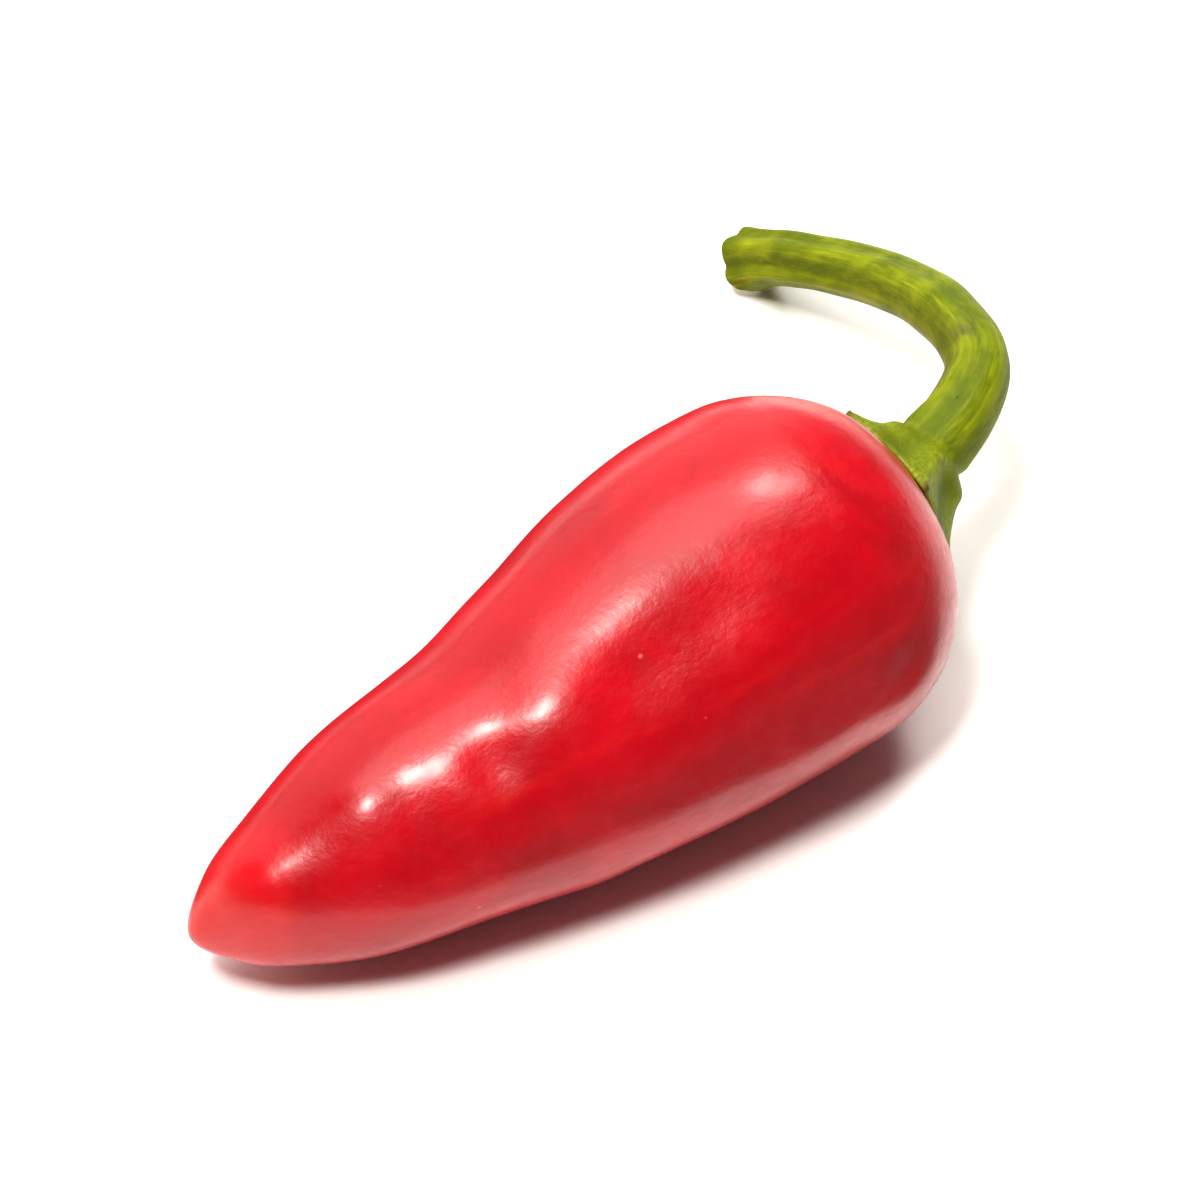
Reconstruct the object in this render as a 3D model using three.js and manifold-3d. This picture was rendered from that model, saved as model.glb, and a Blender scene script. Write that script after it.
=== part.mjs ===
// A small conical chilli pepper, as picked, lying on its side.
// It has two pieces: the red pod, and the green stem with the calyx, the five-cornered cap on the pod's
// shoulder. Millimetres, +Z up. +X runs from the pod's tip towards the stem. The origin is on the surface
// that the pepper lies on, in the small flat spot under the belly.
import * as THREE from "three";
import { mergeVertices } from "three/addons/utils/BufferGeometryUtils.js";
import Module from "manifold-3d";

const wasm = await Module();
wasm.setup();

// Pod: half of its outline, as [distance from the shoulder's top, radius]. It is widest a quarter of the way
// down, and has a slight waist before the blunt tip.
const POD_OUTLINE = [
  [0, 0], [1.0, 6.7], [3.4, 9.7], [8, 11.95], [13.6, 12.4], [20, 11.9], [27, 10.7],
  [33, 9.5], [39, 8.5], [45, 7.1], [49.6, 5.3], [53.6, 3.15], [56.2, 0],
];
// Pod: the line through its middle, from the shoulder to the tip. It bows a little, as the fruit grew, and the
// tip is held just clear of the surface.
const POD_SPINE = [
  [12.5, 1.0, 12.8], [5.0, 0.3, 12.3], [-2.6, -0.3, 11.95],
  [-17.3, -1.5, 9.9], [-31.6, -0.9, 7.55], [-42.05, 0.6, 5.2],
];
const SEED_CHAMBERS = 3; // they show as broad swellings round the pod
const SWELLING = 0.014; // height of a swelling, as a share of the radius
const SWELLING_ANGLE = 0.5;
const POLE_RADIUS = 5; // inside it, at the shoulder's top and the tip, skin forms fade out

// Soft swells and hollows in the skin. An angle of 0 is the pod's upper side, and along is the distance from
// the shoulder's top. A height below 0 is a hollow. Length and width are half sizes, the width in radians.
const SKIN_FORMS = [
  { along: 6, angle: -2.0, height: 0.45, length: 4.5, width: 0.6 },
  { along: 9.2, angle: -1.47, height: -0.35, length: 1.8, width: 0.15 },
  { along: 14.5, angle: -1.4, height: -0.22, length: 3.2, width: 0.25 },
  { along: 25, angle: -0.75, height: -0.2, length: 3.5, width: 0.35 },
  { along: 34, angle: 0.35, height: -0.55, length: 5.5, width: 0.6 },
  { along: 39, angle: -2.2, height: -0.4, length: 4.5, width: 0.5 },
  { along: 40.5, angle: -0.7, height: -0.2, length: 2.6, width: 0.5 },
];

// Stem: the line through its middle, from the pod's shoulder to the cut end, which rests on the surface.
const STEM_PATH = [
  [12.3, 1.5, 13.3], [15.8, 2.3, 14.1], [19.3, 3.4, 14.9], [22.8, 6.1, 15.1],
  [25.0, 12.4, 13.3], [25.6, 20.2, 9.8], [24.1, 29.0, 5.3], [23.0, 34.6, 1.16],
];
// Stem and calyx: half of their outline, as [distance along the stem, radius]. The first points are the edge
// of the calyx.
const STEM_OUTLINE = [
  [-1.6, 5.0], [-0.6, 5.4], [0.1, 5.3], [0.8, 4.75], [1.7, 4.05], [2.7, 3.35], [3.6, 2.8], [5, 2.62],
  [8, 2.38], [12, 2.22], [19, 2.1], [29, 2.03], [36, 1.95], [41, 2.05], [43, 2.25],
];
const CORNERS = 5; // of the calyx; a rib runs from each one up the stem
const CORNER_ANGLE = 0.72;
const CORNER_REACH = 0.07; // how far a corner stands out at the calyx's edge, as a share of the radius
const TOOTH_REACH = 0.05; // the small tooth on each corner adds this
const TOOTH_SHARPNESS = 6;
const TOOTH_LENGTH = 0.9; // how far up the calyx a tooth reaches
const FLARE = 4; // length over which the calyx's corners fade into the stem's ribs
const RIB_HEIGHT = 0.03;
const CUT_END_RIB_HEIGHT = 0.075; // the ribs grow stronger towards the cut end, where the stem dries
const DRY_FROM = 0.55; // share of the stem's length after which they do
const GAP = 0.3; // between the calyx and the pod

const POD_SIDES = 58;
const STEM_SIDES = 50;
const STRETCH_STEPS = 4; // rings for each stretch of an outline
const MERGE_DISTANCE = 1e-5; // a turned shape's first and last edges lie on each other, and are joined

const UP = new THREE.Vector3(0, 0, 1);
const toVector = ([x, y, z = 0]) => new THREE.Vector3(x, y, z);
const spline = (points) => new THREE.CatmullRomCurve3(points.map(toVector));

// A smooth curve through an outline's points, as LatheGeometry takes it: x is the radius, y the distance.
function smoothOutline(outline) {
  const steps = (outline.length - 1) * STRETCH_STEPS;
  return spline(outline).getPoints(steps).map((p) => new THREE.Vector2(Math.max(p.y, 0), p.x));
}

// The pod's outline meets the axis squarely at both ends, because the curve runs on there through a mirrored
// point.
function podOutline() {
  const mirrored = ([along, radius]) => [along, -radius];
  const points = smoothOutline([mirrored(POD_OUTLINE[1]), ...POD_OUTLINE, mirrored(POD_OUTLINE.at(-2))]);
  return points.slice(STRETCH_STEPS, -STRETCH_STEPS);
}

// The same outline moved out by a distance, square to itself.
function offsetOutline(points, distance) {
  return points.map((point, i) => {
    const before = points[Math.max(i - 1, 0)];
    const after = points[Math.min(i + 1, points.length - 1)];
    const run = after.clone().sub(before).normalize();
    const atEnd = i === 0 || i === points.length - 1;
    const outward = atEnd ? new THREE.Vector2(0, Math.sign(i - 1)) : new THREE.Vector2(run.y, -run.x);
    return point.clone().addScaledVector(outward, distance);
  });
}

// A turned shape, closed at its ends, with each radius changed by relief(along, angle, radius) and its axis
// bent along a path. Before the path's start it runs on straight.
function turnedShape(outline, sides, path, relief) {
  const geometry = new THREE.LatheGeometry(outline, sides, Math.PI / sides);
  geometry.deleteAttribute("normal");
  geometry.deleteAttribute("uv");
  const shape = mergeVertices(geometry, MERGE_DISTANCE);
  const length = path.getLength();
  const position = shape.getAttribute("position");
  for (let i = 0; i < position.count; i++) {
    const along = position.getY(i);
    const angle = Math.atan2(position.getX(i), position.getZ(i));
    const radius = relief(along, angle, Math.hypot(position.getX(i), position.getZ(i)));
    const place = THREE.MathUtils.clamp(along / length, 0, 1);
    const forward = path.getTangentAt(place);
    const upward = UP.clone().addScaledVector(forward, -forward.z).normalize();
    const sideways = forward.clone().cross(upward);
    const point = path.getPointAt(place).addScaledVector(forward, along - place * length);
    point.addScaledVector(sideways, radius * Math.sin(angle));
    point.addScaledVector(upward, radius * Math.cos(angle));
    position.setXYZ(i, point.x, point.y, Math.max(point.z, 0));
  }
  return shape;
}

function toSolid(geometry) {
  const triangles = [];
  for (let i = 0; i < geometry.index.count; i += 3) {
    const corners = [0, 1, 2].map((k) => geometry.index.getX(i + k));
    if (new Set(corners).size === 3) triangles.push(...corners);
  }
  const vertProperties = new Float32Array(geometry.getAttribute("position").array);
  const triVerts = new Uint32Array(triangles);
  return new wasm.Manifold(new wasm.Mesh({ numProp: 3, vertProperties, triVerts }));
}

function toMesh(name, solid, material) {
  const { vertProperties, triVerts } = solid.getMesh();
  const geometry = new THREE.BufferGeometry();
  geometry.setAttribute("position", new THREE.BufferAttribute(new Float32Array(vertProperties), 3));
  geometry.setIndex(new THREE.BufferAttribute(new Uint32Array(triVerts), 1));
  geometry.computeVertexNormals();
  const mesh = new THREE.Mesh(geometry, new THREE.MeshStandardMaterial(material));
  mesh.name = name;
  return mesh;
}

// A bump that is 1 in the middle and fades to 0.
const fade = (distance) => Math.exp(-distance * distance);

function podRelief(along, angle, radius) {
  const swelling = 1 + SWELLING * Math.cos(SEED_CHAMBERS * (angle - SWELLING_ANGLE));
  const heights = SKIN_FORMS.map((form) => {
    const turn = Math.atan2(Math.sin(angle - form.angle), Math.cos(angle - form.angle));
    return form.height * fade((along - form.along) / form.length) * fade(turn / form.width);
  });
  const share = Math.min(radius / POLE_RADIUS, 1);
  return radius * swelling + share * heights.reduce((sum, height) => sum + height, 0);
}

function stemRelief(along, angle, radius) {
  const stemLength = STEM_OUTLINE.at(-1)[0];
  const rib = Math.cos(CORNERS * (angle - CORNER_ANGLE));
  const tooth = Math.max(rib, 0) ** TOOTH_SHARPNESS;
  const flare = fade(Math.max(along, 0) / FLARE);
  const edge = fade(Math.max(along, 0) / TOOTH_LENGTH);
  const dry = THREE.MathUtils.smoothstep(along, stemLength * DRY_FROM, stemLength);
  const ribHeight = THREE.MathUtils.lerp(RIB_HEIGHT, CUT_END_RIB_HEIGHT, dry);
  return radius * (1 + rib * (ribHeight + CORNER_REACH * flare) + tooth * TOOTH_REACH * edge);
}

function podSolid(growth) {
  return toSolid(turnedShape(offsetOutline(podOutline(), growth), POD_SIDES, spline(POD_SPINE), podRelief));
}

// The calyx is cut to the pod's own shape, so that it fits the shoulder like a cap.
function stemSolid() {
  const side = smoothOutline(STEM_OUTLINE);
  const outline = [new THREE.Vector2(0, side[0].y), ...side, new THREE.Vector2(0, side.at(-1).y)];
  const whole = toSolid(turnedShape(outline, STEM_SIDES, spline(STEM_PATH), stemRelief));
  return whole.subtract(podSolid(GAP));
}

const pepper = new THREE.Group();
pepper.add(toMesh("pod", podSolid(0), { color: 0xc4081c, roughness: 0.2, metalness: 0 }));
pepper.add(toMesh("stem_and_calyx", stemSolid(), { color: 0x7da021, roughness: 0.5, metalness: 0 }));

export default pepper;
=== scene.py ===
# %% [markdown]
# # A small red chilli pepper, as picked
# This lesson dresses the plain model of a conical chilli pepper: the glossy red pod, and the green stem
# that flares into the calyx, the five-cornered cap on the pod's shoulder. The plain model is loaded
# first and never changed. It says where everything is, and each new piece is laid exactly where its
# plain one was. Sizes are in millimetres, as a grower would measure the fruit, and are turned into
# Blender's metres at the end of each step. A comment says so where a number is already in metres.

# %% Load the plain model
import math

import bmesh
import bpy
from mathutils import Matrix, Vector, noise
from mathutils.bvhtree import BVHTree


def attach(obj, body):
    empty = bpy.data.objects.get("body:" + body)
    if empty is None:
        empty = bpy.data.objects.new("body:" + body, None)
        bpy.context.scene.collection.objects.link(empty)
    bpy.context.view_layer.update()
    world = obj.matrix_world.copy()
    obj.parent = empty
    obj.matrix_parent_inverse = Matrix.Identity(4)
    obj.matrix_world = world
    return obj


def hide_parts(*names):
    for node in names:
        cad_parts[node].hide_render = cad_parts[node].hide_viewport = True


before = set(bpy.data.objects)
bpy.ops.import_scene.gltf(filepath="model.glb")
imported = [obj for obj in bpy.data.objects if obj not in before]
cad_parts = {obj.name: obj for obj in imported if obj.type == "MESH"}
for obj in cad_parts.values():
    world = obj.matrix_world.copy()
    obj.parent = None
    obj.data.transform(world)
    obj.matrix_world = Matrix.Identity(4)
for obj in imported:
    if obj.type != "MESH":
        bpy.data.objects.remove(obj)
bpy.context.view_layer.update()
MM = 0.001

# %% [markdown]
# ## The camera
# The photograph looks down on the pepper at 48 degrees, from a little to the tip's side, and from about
# half a metre away. The pepper is a small part of that picture, so this camera keeps the direction and
# the distance and takes a longer lens, as if the photograph had been cropped to this one pepper.

# %% Place the camera
PHOTO_ELEVATION = math.radians(48.0)
PHOTO_AZIMUTH = math.radians(-33.8)
CAMERA_DISTANCE = 500.0
CAMERA_AIM = Vector((-6.2, 8.1, 8.0))
VIEW_WIDTH = 79.4  # how much the frame takes in, at the pepper
SENSOR_WIDTH = 36.0
NEAREST, FARTHEST = 0.01, 20.0  # what the camera can see, in metres

to_camera = Vector((
    math.sin(PHOTO_AZIMUTH) * math.cos(PHOTO_ELEVATION),
    -math.cos(PHOTO_AZIMUTH) * math.cos(PHOTO_ELEVATION),
    math.sin(PHOTO_ELEVATION),
))
camera_data = bpy.data.cameras.new("camera")
camera_data.sensor_width = SENSOR_WIDTH
camera_data.lens = SENSOR_WIDTH * CAMERA_DISTANCE / VIEW_WIDTH
camera_data.clip_start = NEAREST
camera_data.clip_end = FARTHEST
camera = bpy.data.objects.new("camera", camera_data)
camera.location = (CAMERA_AIM + to_camera * CAMERA_DISTANCE) * MM
camera.rotation_euler = to_camera.to_track_quat("Z", "Y").to_euler()
bpy.context.scene.collection.objects.link(camera)
bpy.context.scene.camera = camera
print("lens in mm:", round(camera_data.lens, 1))

# %% [markdown]
# ## Curves through a few points
# The pod's outline, its bowed middle line and the stem's bend are each drawn through a few points. A
# Catmull-Rom spline passes through every point and stays smooth. This one spaces itself by the square
# root of the distance between points, which keeps it from looping where they lie close together.

# %% Draw a smooth curve
def smooth_curve(points, steps):
    """Points on a smooth curve, with this many steps for each stretch between two given points."""
    points = [Vector(p) for p in points]
    points = [2 * points[0] - points[1], *points, 2 * points[-1] - points[-2]]
    curve = []
    for p0, p1, p2, p3 in zip(points, points[1:], points[2:], points[3:]):
        d0, d1, d2 = (math.sqrt((b - a).length) for a, b in ((p0, p1), (p1, p2), (p2, p3)))
        leave = ((p1 - p0) / d0 - (p2 - p0) / (d0 + d1) + (p2 - p1) / d1) * d1
        arrive = ((p2 - p1) / d1 - (p3 - p1) / (d1 + d2) + (p3 - p2) / d2) * d1
        for step in range(steps):
            t = step / steps
            curve.append(
                p1 + leave * t
                + (3 * (p2 - p1) - 2 * leave - arrive) * t ** 2
                + (2 * (p1 - p2) + leave + arrive) * t ** 3
            )
    return curve + [points[-2]]


# %% [markdown]
# To bend a straight shape, each of its slices has to know where it goes and which way it faces. A path
# answers that for any distance along the curve, and runs on straight past both ends.

# %% Walk along a curve
class Path:
    """A bent middle line. It gives the place and two directions across, at a distance along it."""

    def __init__(self, points, steps=60):
        self.points = smooth_curve(points, steps)
        self.marks = [0.0]
        for a, b in zip(self.points, self.points[1:]):
            self.marks.append(self.marks[-1] + (b - a).length)
        self.length = self.marks[-1]

    def at(self, distance):
        low, high = 0, len(self.marks) - 2
        while low < high:
            middle = (low + high + 1) // 2
            low, high = (middle, high) if self.marks[middle] <= distance else (low, middle - 1)
        share = self.share(low, distance)
        place = self.points[low].lerp(self.points[low + 1], share)
        forward = self.direction(low).lerp(self.direction(low + 1), share).normalized()
        overrun = min(distance, 0.0) + max(distance - self.length, 0.0)
        upward = (Vector((0, 0, 1)) - forward * forward.z).normalized()
        return place + forward * overrun, forward.cross(upward), upward

    def share(self, low, distance):
        return min(max((distance - self.marks[low]) / (self.marks[low + 1] - self.marks[low]), 0.0), 1.0)

    def direction(self, index):
        before = self.points[max(index - 1, 0)]
        after = self.points[min(index + 1, len(self.points) - 1)]
        return (after - before).normalized()


def fade(distance):
    """A soft bump: 1 in the middle, fading to 0 on both sides."""
    return math.exp(-distance * distance)


def step_between(low, high, value):
    """0 below low, 1 above high, and smooth in between."""
    t = min(max((value - low) / (high - low), 0.0), 1.0)
    return t * t * (3 - 2 * t)


# %% [markdown]
# ## Turning and bending
# A pod and a stem are both nearly round, so they are turned like wood on a lathe: half of the outline is
# drawn as a few edges and spun round the axis. Each ring is then pushed in and out for ribs and hollows,
# and the straight shape is bent along its path. Every vertex also notes where it lay before the bend,
# because a pattern that is painted on the straight shape bends with it.

# %% Turn an outline, and bend it along a path
MERGE_DISTANCE = 1e-5


def turn_outline(outline, sides):
    """A straight turned shape: the outline's points are (distance along the axis, radius)."""
    mesh = bmesh.new()
    chain = [mesh.verts.new((0.0, max(radius, 0.0), along)) for along, radius in outline]
    edges = [mesh.edges.new(pair) for pair in zip(chain, chain[1:])]
    bmesh.ops.spin(
        mesh, geom=chain + edges, cent=(0, 0, 0), axis=(0, 0, 1),
        angle=2 * math.pi, steps=sides, use_merge=True,
    )
    bmesh.ops.remove_doubles(mesh, verts=mesh.verts, dist=MERGE_DISTANCE)
    return mesh


def straight_place(along, angle, radius):
    return radius * math.sin(angle), radius * math.cos(angle), along


def lay_vertex(vertex, path, along, angle, radius):
    """Moves a vertex to its place round the path, and never below the table."""
    place, sideways, upward = path.at(along)
    vertex.co = place + sideways * radius * math.sin(angle) + upward * radius * math.cos(angle)
    vertex.co.z = max(vertex.co.z, 0.0)


def bend_along(mesh, path, shape):
    """Lays a mesh along a path. shape(along, angle, radius) gives each vertex its new radius."""
    laid_out = mesh.verts.layers.float_vector.new("laid_out")
    for vertex in mesh.verts:
        along = vertex.co.z
        radius = math.hypot(vertex.co.x, vertex.co.y)
        angle = math.atan2(vertex.co.x, vertex.co.y)
        vertex[laid_out] = straight_place(along, angle, radius)
        lay_vertex(vertex, path, along, angle, shape(along, angle, radius))


# %% [markdown]
# A finished piece is smooth-shaded, has one material, and hangs under the pepper's body. The plain node
# that it stands for is hidden behind it.

# %% Turn a mesh into a finished piece
def finish_piece(mesh, name, node, material):
    """Turns a mesh in millimetres into a smooth piece that stands for a plain node."""
    bmesh.ops.recalc_face_normals(mesh, faces=mesh.faces)
    bmesh.ops.scale(mesh, vec=(MM, MM, MM), verts=mesh.verts)
    for face in mesh.faces:
        face.smooth = True
    data = bpy.data.meshes.new(name)
    mesh.to_mesh(data)
    piece = bpy.data.objects.new(name, data)
    bpy.context.scene.collection.objects.link(piece)
    data.materials.append(material)
    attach(piece, "root")
    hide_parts(node)


# %% [markdown]
# ## Shader maths
# A material is a network of nodes. Written as Python, a sum of two noises reads like a sum: the class
# below wraps the output of a node, and each + or * on it adds a Math node.

# %% Wrap a node's output
class Value:
    """One number or colour that a node gives, with arithmetic on it."""

    def __init__(self, recipe, socket):
        self.recipe = recipe
        self.socket = socket

    def maths(self, operation, *values):
        return self.recipe.node("ShaderNodeMath", {"operation": operation}, dict(enumerate(values)))

    def __add__(self, other):
        return self.maths("ADD", self, other)

    def __radd__(self, other):
        return self.maths("ADD", other, self)

    def __sub__(self, other):
        return self.maths("SUBTRACT", self, other)

    def __rsub__(self, other):
        return self.maths("SUBTRACT", other, self)

    def __mul__(self, other):
        return self.maths("MULTIPLY", self, other)

    def __rmul__(self, other):
        return self.maths("MULTIPLY", other, self)

    def between(self, low, high):
        """0 below low, 1 above high, and smooth in between."""
        sockets = {"Value": self, "From Min": low, "From Max": high, "To Min": 0.0, "To Max": 1.0}
        return self.recipe.node("ShaderNodeMapRange", {"interpolation_type": "SMOOTHSTEP"}, sockets)


# %% [markdown]
# Every other kind of node comes from one method, which sets the node's own settings first and then its
# sockets. The methods after it are the steps that both skins share: noise, spots, mixing and bumps.

# %% Write materials as recipes
MIX_FIRST, MIX_SECOND, MIX_RESULT = 6, 7, 2  # a Mix node's sockets for colours


class Recipe:
    """The nodes of one material."""

    def __init__(self, name):
        self.material = bpy.data.materials.new(name)
        self.material.use_nodes = True
        self.tree = self.material.node_tree
        self.tree.nodes.clear()

    def node(self, kind, settings, sockets, output=0):
        node = self.tree.nodes.new(kind)
        for name, setting in settings.items():
            setattr(node, name, setting)
        for name, value in sockets.items():
            if isinstance(value, Value):
                self.tree.links.new(value.socket, node.inputs[name])
            else:
                node.inputs[name].default_value = value
        return Value(self, node.outputs[output]) if node.outputs else None

    def attribute(self, name, output="Fac"):
        return self.node("ShaderNodeAttribute", {"attribute_name": name}, {}, output)

    def noted_place(self, stretch=(1.0, 1.0, 1.0)):
        """Where the skin lay on the straight shape, in millimetres, squeezed to draw patterns out."""
        sockets = {0: self.attribute("laid_out", "Vector"), 1: stretch}
        return self.node("ShaderNodeVectorMath", {"operation": "MULTIPLY"}, sockets)

    def noise(self, place, scale, detail=3.0, roughness=0.55, distortion=0.0):
        """Soft noise. A scale of 1 gives lumps about a millimetre wide."""
        sockets = {"Vector": place, "Scale": scale, "Detail": detail, "Roughness": roughness}
        sockets["Distortion"] = distortion
        return self.node("ShaderNodeTexNoise", {}, sockets, "Fac")

    def rare_spots(self, place, scale, inner, outer, patches):
        """Round spots, solid inside and gone outside, only where the patches of a noise are highest."""
        cells = self.node("ShaderNodeTexVoronoi", {}, {"Vector": place, "Scale": scale}, "Distance")
        return (1.0 - cells.between(inner, outer)) * patches.between(0.60, 0.64)

    def blend(self, share, first, second):
        """Mixes two colours: 0 gives the first and 1 the second."""
        first, second = ((*c, 1.0) if isinstance(c, tuple) else c for c in (first, second))
        sockets = {0: share, MIX_FIRST: first, MIX_SECOND: second}
        return self.node("ShaderNodeMix", {"data_type": "RGBA"}, sockets, MIX_RESULT)

    def bump(self, height, depth, under=None):
        """Raises the surface by height times a depth in millimetres."""
        sockets = {"Height": height, "Strength": 1.0, "Distance": depth * MM}
        if under is not None:
            sockets["Normal"] = under
        return self.node("ShaderNodeBump", {}, sockets)

    def finish(self, **sockets):
        sockets = {name.replace("_", " "): value for name, value in sockets.items()}
        shader = self.node("ShaderNodeBsdfPrincipled", {}, sockets)
        self.node("ShaderNodeOutputMaterial", {"is_active_output": True}, {"Surface": shader})
        print(self.material.name, "is a recipe of", len(self.tree.nodes), "nodes")
        return self.material


# %% [markdown]
# ## The pod's skin
# Ripe chilli skin is a clear, waxy film over red flesh. The flesh gives the deep colour, and the film
# gives the gloss. So the shader has a red base under a thin clear coat. What stops it from looking like
# plastic is small: patches about a centimetre wide where the red is deeper or brighter, faint streaks
# along the pod, a fine grain that breaks the highlights into crumbs, and a few pale flecks. The tip is a
# little brighter, and ends in a tiny brown scar where the flower was.

# %% Mix the red skin
DEEP_RED = (0.34, 0.000, 0.006)
BRIGHT_RED = (0.45, 0.000, 0.009)
STREAK_RED = (0.64, 0.012, 0.008)
MOTTLE_RED = (0.30, 0.000, 0.008)
TIP_RED = (0.64, 0.014, 0.008)
PALE_FLECK = (0.85, 0.25, 0.16)
BROWN_SCAR = (0.09, 0.035, 0.012)
ALONG_POD = (1.0, 1.0, 0.16)  # draws the streaks out to six times their width
TIP_FROM, TIP_TO = 46.0, 57.0
SCAR_FROM, SCAR_TO = 56.0, 56.2
WAVE_DEPTH = 0.018
GRAIN_DEPTH = 0.042


def red_skin():
    recipe = Recipe("pod_skin")
    place = recipe.noted_place()
    patches = recipe.noise(place, 0.11, detail=4.0, distortion=0.6)
    streaks = recipe.noise(recipe.noted_place(ALONG_POD), 0.55)
    mottle = recipe.noise(place, 1.3, detail=2.0)
    fleck = recipe.rare_spots(place, 0.42, 0.035, 0.085, recipe.noise(place, 0.33, detail=0.0))
    along = recipe.node("ShaderNodeSeparateXYZ", {}, {"Vector": place}, "Z")

    red = recipe.blend(patches.between(0.35, 0.68), DEEP_RED, BRIGHT_RED)
    red = recipe.blend(streaks.between(0.52, 0.78) * 0.25, red, STREAK_RED)
    red = recipe.blend(mottle.between(0.5, 0.8) * 0.16, red, MOTTLE_RED)
    red = recipe.blend(fleck * 0.45, red, PALE_FLECK)
    red = recipe.blend(along.between(TIP_FROM, TIP_TO) * 0.5, red, TIP_RED)
    red = recipe.blend(along.between(SCAR_FROM, SCAR_TO) * 0.8, red, BROWN_SCAR)

    surface = recipe.bump(recipe.noise(place, 0.45, detail=1.0), WAVE_DEPTH)
    surface = recipe.bump(recipe.noise(place, 1.5, roughness=0.6), GRAIN_DEPTH, under=surface)
    roughness = 0.32 + 0.09 * recipe.noise(place, 0.8).between(0.35, 0.7) + 0.2 * fleck
    return recipe.finish(
        Base_Color=red, Roughness=roughness, Normal=surface,
        Coat_Weight=0.3, Coat_Roughness=0.21, IOR=1.42,
    )


# %% [markdown]
# ## The pod
# The pod is a blunt cone with a rounded shoulder: widest a quarter of the way down, with a slight waist
# before the tip. It is one fruit, so it is one closed mesh. A sculptor would rough out the cone and rub
# in the hollows. Here the outline is turned and bent, the three seed chambers swell it a little, and the
# swells and hollows that a thumb would feel are listed one by one.

# %% List the pod's measures
# Half of the outline: distance from the shoulder's top, radius.
POD_OUTLINE = [
    (0, 0), (1.0, 6.7), (3.4, 9.7), (8, 11.95), (13.6, 12.4), (20, 11.9), (27, 10.7),
    (33, 9.5), (39, 8.5), (45, 7.1), (49.6, 5.3), (53.6, 3.15), (56.2, 0),
]
POD_SPINE = [
    (12.5, 1.0, 12.8), (5.0, 0.3, 12.3), (-2.6, -0.3, 11.95),
    (-17.3, -1.5, 9.9), (-31.6, -0.9, 7.55), (-42.05, 0.6, 5.2),
]
POD_SIDES = 200
POD_STEPS = 18  # rings for each stretch of the outline
SEED_CHAMBERS = 3
SWELLING = 0.014  # as a share of the radius
SWELLING_ANGLE = 0.5
POLE_RADIUS = 5.0  # inside it, at both ends, the forms fade out
# Each form: distance from the shoulder's top, angle from the upper side, height, half its length, and
# half its width in radians. A height below 0 is a hollow.
SKIN_FORMS = [
    (6.0, -2.0, 0.45, 4.5, 0.60), (9.2, -1.47, -0.35, 1.8, 0.15), (14.5, -1.4, -0.22, 3.2, 0.25),
    (25.0, -0.75, -0.2, 3.5, 0.35), (34.0, 0.35, -0.55, 5.5, 0.60), (39.0, -2.2, -0.4, 4.5, 0.50),
    (40.5, -0.7, -0.2, 2.6, 0.50),
]

# %% [markdown]
# The plain model has only those broad forms. The skin adds ripples on its upper side, which part the
# long highlight into drops, and two layers of soft noise that keep any stretch from being too even. That
# is what makes the highlights wander as they do on real skin.

# %% Shape the pod
SKIN_RIPPLES = [
    (51.3, -0.50, 1.05, 3.4, 0.60), (43.2, -0.30, 0.35, 2.2, 0.35), (35.2, -0.60, -0.50, 2.0, 0.25),
    (31.0, -0.50, 0.30, 2.6, 0.30), (25.0, -0.60, -0.45, 3.5, 0.25), (19.5, -0.55, -0.40, 3.0, 0.25),
    (14.0, -0.15, 0.30, 3.2, 0.35),
]
# Each layer of noise: height, how fast it changes in a millimetre, and a shift to a fresh part of it.
SKIN_NOISE = [(0.16, 0.16, (0, 0, 0)), (0.045, 0.28, (7, 3, 1))]


def pod_radius(along, angle, radius):
    """The radius of the pod with its swellings, forms and ripples."""
    swelling = 1 + SWELLING * math.cos(SEED_CHAMBERS * (angle - SWELLING_ANGLE))
    added = 0.0
    for centre, turn, height, length, width in SKIN_FORMS + SKIN_RIPPLES:
        apart = math.remainder(angle - turn, 2 * math.pi)
        added += height * fade((along - centre) / length) * fade(apart / width)
    spot = Vector((radius * math.sin(angle), radius * math.cos(angle), along))
    for height, pace, shift in SKIN_NOISE:
        added += height * noise.noise(spot * pace + Vector(shift))
    return radius * swelling + min(radius / POLE_RADIUS, 1.0) * added


def pod_outline():
    """The outline runs on through a mirrored point at each end, so that it meets the axis squarely."""
    first, last = POD_OUTLINE[1], POD_OUTLINE[-2]
    mirrored = [(first[0], -first[1]), *POD_OUTLINE, (last[0], -last[1])]
    curve = smooth_curve([(along, radius, 0) for along, radius in mirrored], POD_STEPS)
    outline = [(point.x, point.y) for point in curve[POD_STEPS:-POD_STEPS]]
    outline[0], outline[-1] = (outline[0][0], 0.0), (outline[-1][0], 0.0)
    return outline


pod_path = Path(POD_SPINE)
print("the pod's middle line in mm:", round(pod_path.length, 1))
pod_mesh = turn_outline(pod_outline(), POD_SIDES)
bend_along(pod_mesh, pod_path, pod_radius)
bmesh.ops.recalc_face_normals(pod_mesh, faces=pod_mesh.faces)
pod_surface = BVHTree.FromBMesh(pod_mesh)
finish_piece(pod_mesh, "pod_skin", "pod", red_skin())
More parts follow.
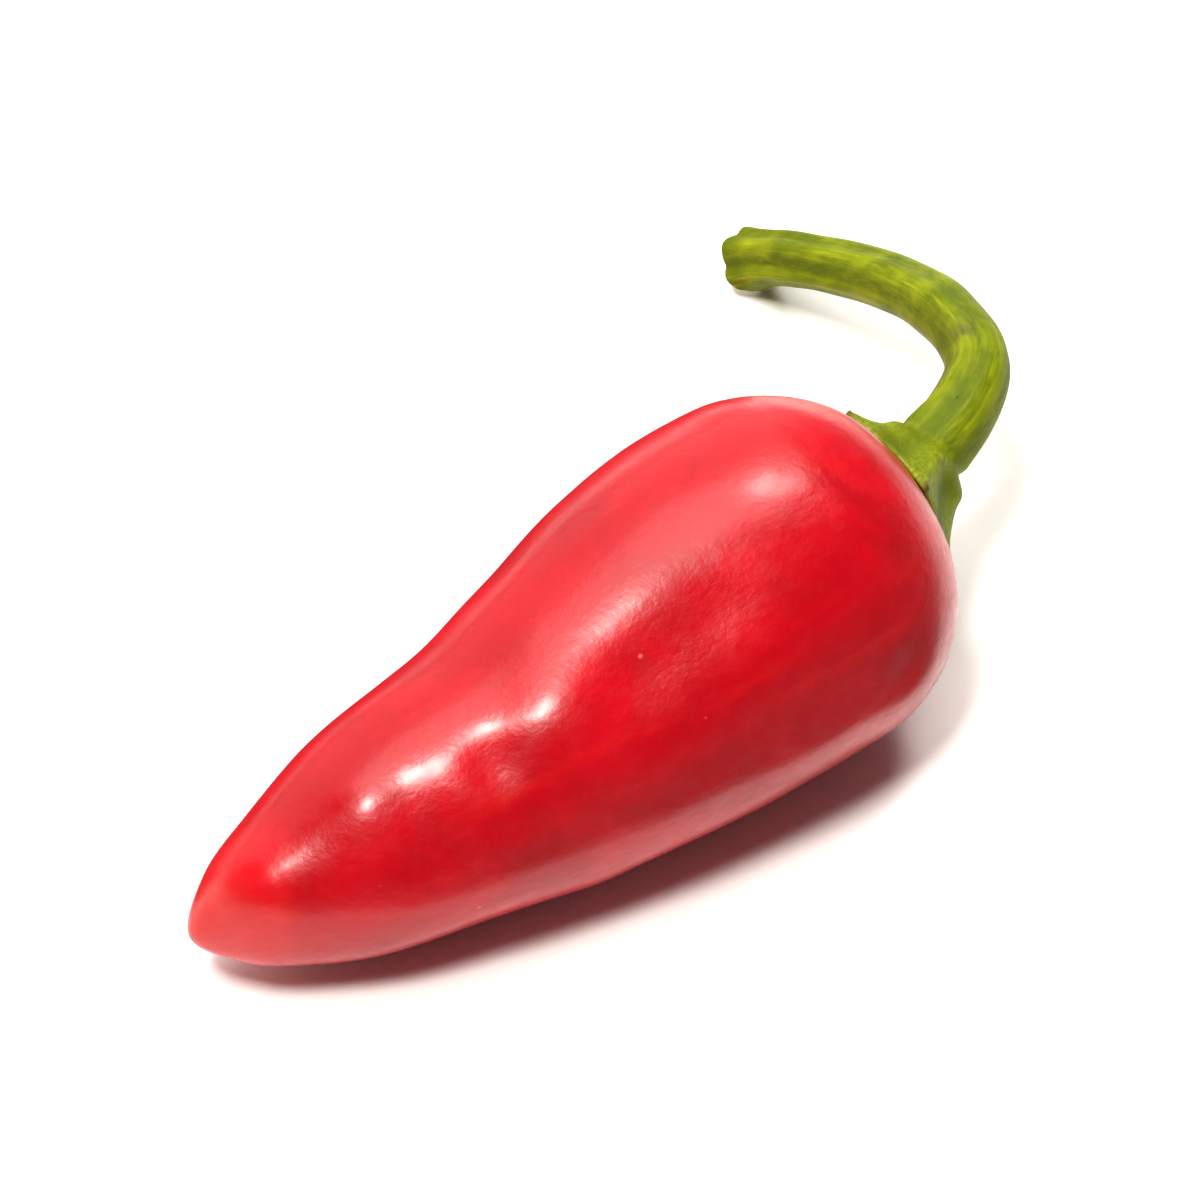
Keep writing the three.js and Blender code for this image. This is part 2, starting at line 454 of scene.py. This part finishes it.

# %% [markdown]
# ## The stem's skin
# The stem is a living green. Its five ribs are painted yellower on their crests: a painted highlight where
# the raised ribs catch the light, laid over real fibre streaks. The furrows between them are painted
# darker, a painted shade. Fine streaks run along it, because its fibres do, and it has a few dark specks
# and one grey scar. The calyx is a deeper green, with paler veins along its rib crests, partly vein colour
# and partly painted highlight. Its thin edge has dried to tan, and the small teeth at its corners to
# brown. At the cut end the dry, cream-coloured pith shows inside a green ring. The mesh carries the places
# of all these as painted values, so that they follow its shape.

# %% Mix the green skin
DARK_GREEN = (0.095, 0.130, 0.001)
LEAF_GREEN = (0.205, 0.240, 0.002)
# painted highlight: fibre streaks coloured paler only on the rib crests
CREST_HIGHLIGHT_FIBRE_GREEN = (0.360, 0.390, 0.008)
# painted shade: the colour of the furrows between the ribs
FURROW_SHADE_GREEN = (0.080, 0.112, 0.002)
CALYX_GREEN = (0.105, 0.135, 0.005)
# paler veins on the calyx's rib crests, partly vein colour and partly painted highlight
VEIN_AND_CREST_HIGHLIGHT_GREEN = (0.400, 0.460, 0.030)
DARK_SPECK = (0.060, 0.050, 0.012)
GREY_SCAR = (0.085, 0.075, 0.030)
DRY_TAN = (0.300, 0.250, 0.070)
TOOTH_BROWN = (0.100, 0.055, 0.018)
PITH_SHADE = (0.300, 0.230, 0.080)
PITH_CREAM = (0.620, 0.560, 0.300)
# These draw patterns out along the stem: fibres most, and specks least.
ALONG_FIBRES = (1.0, 1.0, 0.09)
ALONG_STREAKS = (1.0, 1.0, 0.3)
ALONG_SPECKS = (1.0, 1.0, 0.6)
FIBRE_DEPTH = 0.09
STREAK_DEPTH = 0.045
STEM_MARKS = ("crest", "young", "dry_edge", "tooth", "cut", "scar")


def green_skin():
    recipe = Recipe("stem_skin")
    place = recipe.noted_place()
    fibres = recipe.noise(recipe.noted_place(ALONG_FIBRES), 2.6, detail=4.0, roughness=0.6)
    fine = recipe.noise(recipe.noted_place(ALONG_STREAKS), 3.0)
    clouds = recipe.noise(place, 0.28)
    patchy = recipe.noise(place, 0.7, detail=0.0)
    speck = recipe.rare_spots(recipe.noted_place(ALONG_SPECKS), 0.9, 0.05, 0.11, patchy)
    crest, young, dry_edge, tooth, cut, scar = (recipe.attribute(name) for name in STEM_MARKS)
    furrow_shade = (1.0 - crest).between(0.25, 1.0) * fine.between(0.2, 0.7)

    green = recipe.blend(clouds.between(0.3, 0.7), DARK_GREEN, LEAF_GREEN)
    # Painted highlight: paler fibre streaks laid only along the rib crests.
    green = recipe.blend(fibres.between(0.45, 0.75) * crest * 0.6, green, CREST_HIGHLIGHT_FIBRE_GREEN)
    # Painted shade: darker green in the furrows between the ribs, broken by fine streaks.
    green = recipe.blend(furrow_shade * 0.75, green, FURROW_SHADE_GREEN)
    green = recipe.blend(young * clouds.between(0.2, 0.6) * 0.8, green, CALYX_GREEN)
    # Partly painted highlight: paler veins on the calyx's rib crests.
    green = recipe.blend(young * crest * fine.between(0.3, 0.7) * 0.4, green, VEIN_AND_CREST_HIGHLIGHT_GREEN)
    green = recipe.blend(speck * 0.75, green, DARK_SPECK)
    green = recipe.blend(scar * fine.between(0.3, 0.6) * 0.85, green, GREY_SCAR)
    green = recipe.blend(dry_edge * fine.between(0.3, 0.6) * 0.7, green, DRY_TAN)
    green = recipe.blend(tooth * 0.9, green, TOOTH_BROWN)
    pith = recipe.blend(fine.between(0.35, 0.65), PITH_SHADE, PITH_CREAM)

    surface = recipe.bump(fibres, FIBRE_DEPTH)
    surface = recipe.bump(fine, STREAK_DEPTH, under=surface)
    return recipe.finish(
        Base_Color=recipe.blend(cut, green, pith), Roughness=0.44 + 0.2 * fine + 0.2 * cut,
        Normal=surface, IOR=1.32, Specular_IOR_Level=0.35,
    )


# %% [markdown]
# ## The stem and calyx
# They grew as one piece, so they are one closed mesh. The outline starts under the cap in the middle, runs
# out to the cap's thin edge, comes back up its flare to the neck, and follows the stem to the cut end.
# Five ribs run from the cap's corners up the stem. They nearly vanish halfway, and grow sharp again where
# the stem dries.

# %% List the stem's measures
STEM_PATH = [
    (12.3, 1.5, 13.3), (15.8, 2.3, 14.1), (19.3, 3.4, 14.9), (22.8, 6.1, 15.1),
    (25.0, 12.4, 13.3), (25.6, 20.2, 9.8), (24.1, 29.0, 5.3), (23.0, 34.6, 1.16),
]
# Each ring of the outlines: height, radius, and how closely it follows the pod. Where that is 1, the
# height is over the pod's skin. Where it is 0, the height is the distance along the path.
CAP_EDGE = 0.58  # height of the top of the cap's thin edge
CAP_OUTLINE = [
    (0.12, 0.0, 1.0), (0.12, 2.5, 1.0), (0.12, 4.7, 1.0), (0.14, 5.32, 1.0), (0.34, 5.46, 1.0),
    (CAP_EDGE, 5.34, 1.0), (1.0, 4.85, 0.8), (1.75, 4.10, 0.45), (2.7, 3.38, 0.15),
    (3.6, 2.82, 0.0), (5.0, 2.62, 0.0),
]
STALK_OUTLINE = [
    (8, 2.38, 0), (12, 2.22, 0), (19, 2.1, 0), (29, 2.03, 0), (36, 1.95, 0), (41, 2.05, 0), (42.9, 2.2, 0),
]
CUT_OUTLINE = [(43.15, 2.02, 0), (43.05, 1.6, 0), (42.8, 1.0, 0), (42.7, 0.0, 0)]
CAP_STEPS, STALK_STEPS, CUT_STEPS = 8, 20, 5  # rings for each stretch of the outlines
CUT_RINGS = (len(CUT_OUTLINE) - 1) * CUT_STEPS  # the last rings, which lie on the cut
STEM_LENGTH = 43.0
STEM_SIDES = 140
stem_path = Path(STEM_PATH)
print("the stem's middle line in mm:", round(stem_path.length, 1))

# %% [markdown]
# The cap has to fit a shoulder that isn't quite round, so its edge is measured from the pod itself: a ray
# is dropped on the pod under each point, as a tailor would pin a collar on the wearer.

# %% Measure the pod under the cap
RAY_START = 8.0


def pod_height(angle, radius):
    """How high the pod's skin stands over the stem's starting plane, at this place under the cap."""
    start, sideways, upward = stem_path.at(0.0)
    forward = upward.cross(sideways)
    place = start + sideways * radius * math.sin(angle) + upward * radius * math.cos(angle)
    hit = pod_surface.ray_cast(place + forward * RAY_START, -forward)[0]
    return (hit - start).dot(forward)


# %% [markdown]
# A stem isn't a neat tube. It has low ridges that grow as it dries, lumps at its base, a ragged edge to
# its cap, and a rim and a crease where it leaves the cap. The noise is read off a circle, so that it
# joins up round the stem.

# %% Roughen the stem
CORNERS = 5
CORNER_ANGLE = 0.72
FLARE = 4.0  # height over which the corners fade into the ribs
DRY_FROM = 0.55  # share of the stem's length after which it is dry
TOOTH_SHARPNESS = 14
EDGE_FADE = 0.5
# How far each of these stands out, as a share of the radius.
CORNER_REACH = 0.07
TOOTH_REACH = 0.10
RIB_HEIGHT = 0.03
CUT_END_RIB_HEIGHT = 0.075
# Each layer of noise: height, how fast it changes along and round the stem, and a seed.
RIDGES = (0.10, 0.05, 2.2, 4.0)
DRY_RIDGES = (0.22, 0.05, 2.2, 4.0)
LUMPS = (0.50, 0.5, 1.6, 9.0)
LUMPS_HEIGHT, LUMPS_LENGTH = 2.8, 1.8
RAGGED_EDGE = (0.50, 0.0, 3.0, 2.0)
SWELL, SWELL_PACE, SWELL_SEED, SWELL_FROM = 0.12, 0.22, 5.0, 5.0  # slow swells above the cap
COLLAR = [(3.1, 0.14), (4.1, -0.24)]  # height over the pod of the rim and the crease, and their size
COLLAR_LENGTH = 0.5
CENTRE_RADIUS = 1.5  # inside it, the relief fades out


def stem_wave(layer, angle, along):
    """Soft noise that joins up round the stem."""
    height, pace, fineness, seed = layer
    spot = Vector((math.cos(angle) * fineness + seed, math.sin(angle) * fineness, along * pace))
    return height * noise.noise(spot)


def stem_radius(angle, above, radius, follow, rib, pointed):
    """The radius of the stem or cap with its ribs, teeth, ridges and lumps."""
    flare = fade(max(above, 0.0) / FLARE)
    edge = fade(max(above - CAP_EDGE, 0.0) / EDGE_FADE)
    dry = step_between(STEM_LENGTH * DRY_FROM, STEM_LENGTH, above)
    rib_height = RIB_HEIGHT + (CUT_END_RIB_HEIGHT - RIB_HEIGHT) * dry
    share = rib * (rib_height + CORNER_REACH * flare) + pointed * TOOTH_REACH * edge
    added = stem_wave(RIDGES, angle, above) + stem_wave(DRY_RIDGES, angle, above) * dry
    added += stem_wave(LUMPS, angle, above) * fade((above - LUMPS_HEIGHT) / LUMPS_LENGTH)
    added += stem_wave(RAGGED_EDGE, angle, 0.0) * edge * follow
    for height, size in COLLAR:
        added += size * fade((above - height) / COLLAR_LENGTH) * (1 + 0.5 * rib)
    if above > SWELL_FROM:
        added += SWELL * noise.noise(Vector((above * SWELL_PACE, SWELL_SEED, 0.0)))
    return radius * (1 + share) + min(radius / CENTRE_RADIUS, 1.0) * added


# %% [markdown]
# The whole stem is turned with a ring's number in place of its height, so that each vertex can look up
# its ring in the outline. Then the vertex gets its real place, and the marks that the green skin reads.

# %% Shape the stem and calyx
TOOTH_LIFT = 0.3
TOOTH_LIFT_RINGS = 4.0
VEIN_HEIGHT, VEIN_RADIUS, VEIN_LENGTH = 0.16, 4.1, 1.0
CUT_EDGE = (STEM_LENGTH - 0.12, STEM_LENGTH + 0.02)
# Over the cut, the noise changes with the radius in place of the height.
CUT_DISHES = (0.30, 0.8, 2.4, 6.0)
CUT_CRUMBS = (0.12, 2.0, 7.0, 3.0)
PITH_RADIUS, PITH_BLUR = 2.1, 0.2
YOUNG_FROM, YOUNG_LENGTH = 1.0, 3.4
DRY_RINGS = 3.2
TOOTH_RINGS = 6.0
SCAR_HEIGHT, SCAR_LENGTH, SCAR_ANGLE, SCAR_WIDTH = 13.5, 1.1, -0.4, 0.4


def stem_outline():
    cap = smooth_curve(CAP_OUTLINE, CAP_STEPS)
    stalk = smooth_curve([CAP_OUTLINE[-1], *STALK_OUTLINE], STALK_STEPS)
    cut = smooth_curve([STALK_OUTLINE[-1], *CUT_OUTLINE], CUT_STEPS)
    return cap[:-1] + stalk[:-1] + cut


def make_stem():
    outline = stem_outline()
    edge = max(range(len(outline)), key=lambda ring: outline[ring].y)
    mesh = turn_outline([(ring, point.y) for ring, point in enumerate(outline)], STEM_SIDES)
    laid_out = mesh.verts.layers.float_vector.new("laid_out")
    layers = [mesh.verts.layers.float.new(name) for name in STEM_MARKS]
    for vertex in mesh.verts:
        ring = round(vertex.co.z)
        angle = math.atan2(vertex.co.x, vertex.co.y)
        above, radius, follow = outline[ring]
        rib = math.cos(CORNERS * (angle - CORNER_ANGLE))
        pointed = max(rib, 0.0) ** TOOTH_SHARPNESS
        radius = stem_radius(angle, above, radius, follow, rib, pointed)
        above += TOOTH_LIFT * pointed * fade((ring - edge) / TOOTH_LIFT_RINGS)
        cut = 0.0
        if ring > edge:
            above += VEIN_HEIGHT * rib * fade((radius - VEIN_RADIUS) / VEIN_LENGTH)
            cut = step_between(*CUT_EDGE, above)
        if ring >= len(outline) - CUT_RINGS:
            above += stem_wave(CUT_DISHES, angle, radius) + stem_wave(CUT_CRUMBS, angle, radius)
            cut = max(cut, step_between(0.0, PITH_BLUR, PITH_RADIUS - radius))
        from_scar = math.remainder(angle - SCAR_ANGLE, 2 * math.pi)
        marks = (
            0.5 + 0.5 * rib,
            fade(max(above - YOUNG_FROM, 0.0) / YOUNG_LENGTH),
            fade((ring - edge) / DRY_RINGS),
            pointed * fade((ring - edge) / TOOTH_RINGS),
            cut,
            fade((above - SCAR_HEIGHT) / SCAR_LENGTH) * fade(from_scar / SCAR_WIDTH),
        )
        for layer, mark in zip(layers, marks):
            vertex[layer] = mark
        along = above + (follow * pod_height(angle, radius) if follow > 0 else 0.0)
        vertex[laid_out] = straight_place(along, angle, radius)
        lay_vertex(vertex, stem_path, along, angle, radius)
    return mesh


finish_piece(make_stem(), "stem_and_calyx_skin", "stem_and_calyx", green_skin())

# %% [markdown]
# ## Table
# The photograph was taken on white paper, so bright that it washes out. A real sheet has a faint tooth,
# so the colour and the surface get a very fine noise.

# %% Lay the table
TABLE_RADIUS = 1.2  # metres
TABLE_SIDES = 96
PAPER_SHADE = (0.91, 0.90, 0.90)
PAPER_WHITE = (0.94, 0.93, 0.93)
TOOTH_SCALE = 900.0  # for each metre
TOOTH_DEPTH = 0.02


def paper_white():
    recipe = Recipe("paper_white")
    place = recipe.node("ShaderNodeTexCoord", {}, {}, "Object")
    tooth = recipe.noise(place, TOOTH_SCALE, detail=2.0)
    colour = recipe.blend(tooth, PAPER_SHADE, PAPER_WHITE)
    return recipe.finish(Base_Color=colour, Roughness=0.7, Normal=recipe.bump(tooth, TOOTH_DEPTH))


table_mesh = bmesh.new()
bmesh.ops.create_circle(table_mesh, cap_ends=True, segments=TABLE_SIDES, radius=TABLE_RADIUS)
table_data = bpy.data.meshes.new("table")
table_mesh.to_mesh(table_data)
table = bpy.data.objects.new("table", table_data)
table_data.materials.append(paper_white())
bpy.context.scene.collection.objects.link(table)

# %% [markdown]
# The pod mirrors the bright paper: as a grey haze on its near side, and as a white line on its far edge.
# A photographer stops that with cards just outside the picture. The black one lies on the camera's side,
# and the red one behind, where it keeps the far edge red. Mirror reflections alone see them, so they can
# lie close to the pepper and throw no shadow.

# %% Lay the cards
CARD_HEIGHT = 0.5
CARD_REACH = 1100.0
BLACK_CARD = [
    (-34, -25), (-8, -21), (15, -16), (CARD_REACH, -16),
    (CARD_REACH, -CARD_REACH), (-CARD_REACH, -CARD_REACH),
]
RED_CARD = [(-46, 12), (-30, 6), (-10, 13), (14, 20), (60, 90), (-20, 110), (-70, 60)]


def lay_card(name, corners, colour):
    """A flat card just above the paper, which only mirror reflections see."""
    mesh = bmesh.new()
    mesh.faces.new([mesh.verts.new((x * MM, y * MM, CARD_HEIGHT * MM)) for x, y in corners])
    data = bpy.data.meshes.new(name)
    mesh.to_mesh(data)
    data.materials.append(Recipe(name).finish(Base_Color=(*colour, 1.0), Roughness=1.0))
    card = bpy.data.objects.new(name, data)
    card.visible_camera = card.visible_diffuse = card.visible_shadow = False
    bpy.context.scene.collection.objects.link(card)


lay_card("black_card", BLACK_CARD, (0.01, 0.01, 0.01))
lay_card("red_card", RED_CARD, (0.30, 0.0, 0.006))

# %% [markdown]
# ## Light
# A smallish lamp hangs almost overhead and draws the broken line of highlights along the pod. A weaker
# one makes the soft spot on the shoulder, and brightens the stem's outer side. A large softbox above and
# a panel behind give the soft light and the shadow on the near side, and the pod mirrors them as a pale
# veil on its far half. All of them are a little warm.

# %% Hang the lights
LAMP_COLOUR = (1.0, 0.97, 0.91)
LAMP_DISTANCE = 1.6  # metres


def hang_light(name, towards, size, power):
    """A flat lamp that faces the pepper, in metres and watts."""
    data = bpy.data.lights.new(name, "AREA")
    data.shape = "RECTANGLE"
    data.size, data.size_y = size
    data.energy = power
    data.color = LAMP_COLOUR
    lamp = bpy.data.objects.new(name, data)
    towards = Vector(towards).normalized()
    lamp.location = towards * LAMP_DISTANCE
    lamp.rotation_euler = towards.to_track_quat("Z", "Y").to_euler()
    bpy.context.scene.collection.objects.link(lamp)
    print(name, "gives", power, "W")


hang_light("small_lamp", (-0.34, -0.145, 0.93), (0.34, 0.40), 24.5)
hang_light("second_lamp", (0.47, 0.22, 0.85), (0.42, 0.36), 8.0)
hang_light("softbox", (0.05, 0.25, 0.95), (1.5, 1.1), 17.0)
hang_light("far_panel", (0.10, 0.84, 0.54), (2.6, 1.5), 12.0)

# %% [markdown]
# A white room sends a little light from all sides. Seen past the edge of the paper, it has to be about
# as bright as the paper, so the camera is shown a brighter room than the one that lights the pepper.

# %% Light the room
ROOM_COLOUR = (1.0, 0.98, 0.97, 1.0)
ROOM_LIGHT = 0.10
ROOM_SEEN = 0.92

world = bpy.data.worlds.new("studio")
world.use_nodes = True
nodes, links = world.node_tree.nodes, world.node_tree.links
seen = nodes.new("ShaderNodeLightPath")
strength = nodes.new("ShaderNodeMapRange")
strength.inputs["To Min"].default_value = ROOM_LIGHT
strength.inputs["To Max"].default_value = ROOM_SEEN
nodes["Background"].inputs["Color"].default_value = ROOM_COLOUR
links.new(seen.outputs["Is Camera Ray"], strength.inputs["Value"])
links.new(strength.outputs["Result"], nodes["Background"].inputs["Strength"])
bpy.context.scene.world = world
bpy.context.scene.view_settings.view_transform = "Standard"
bpy.context.scene.view_settings.look = "Medium High Contrast"
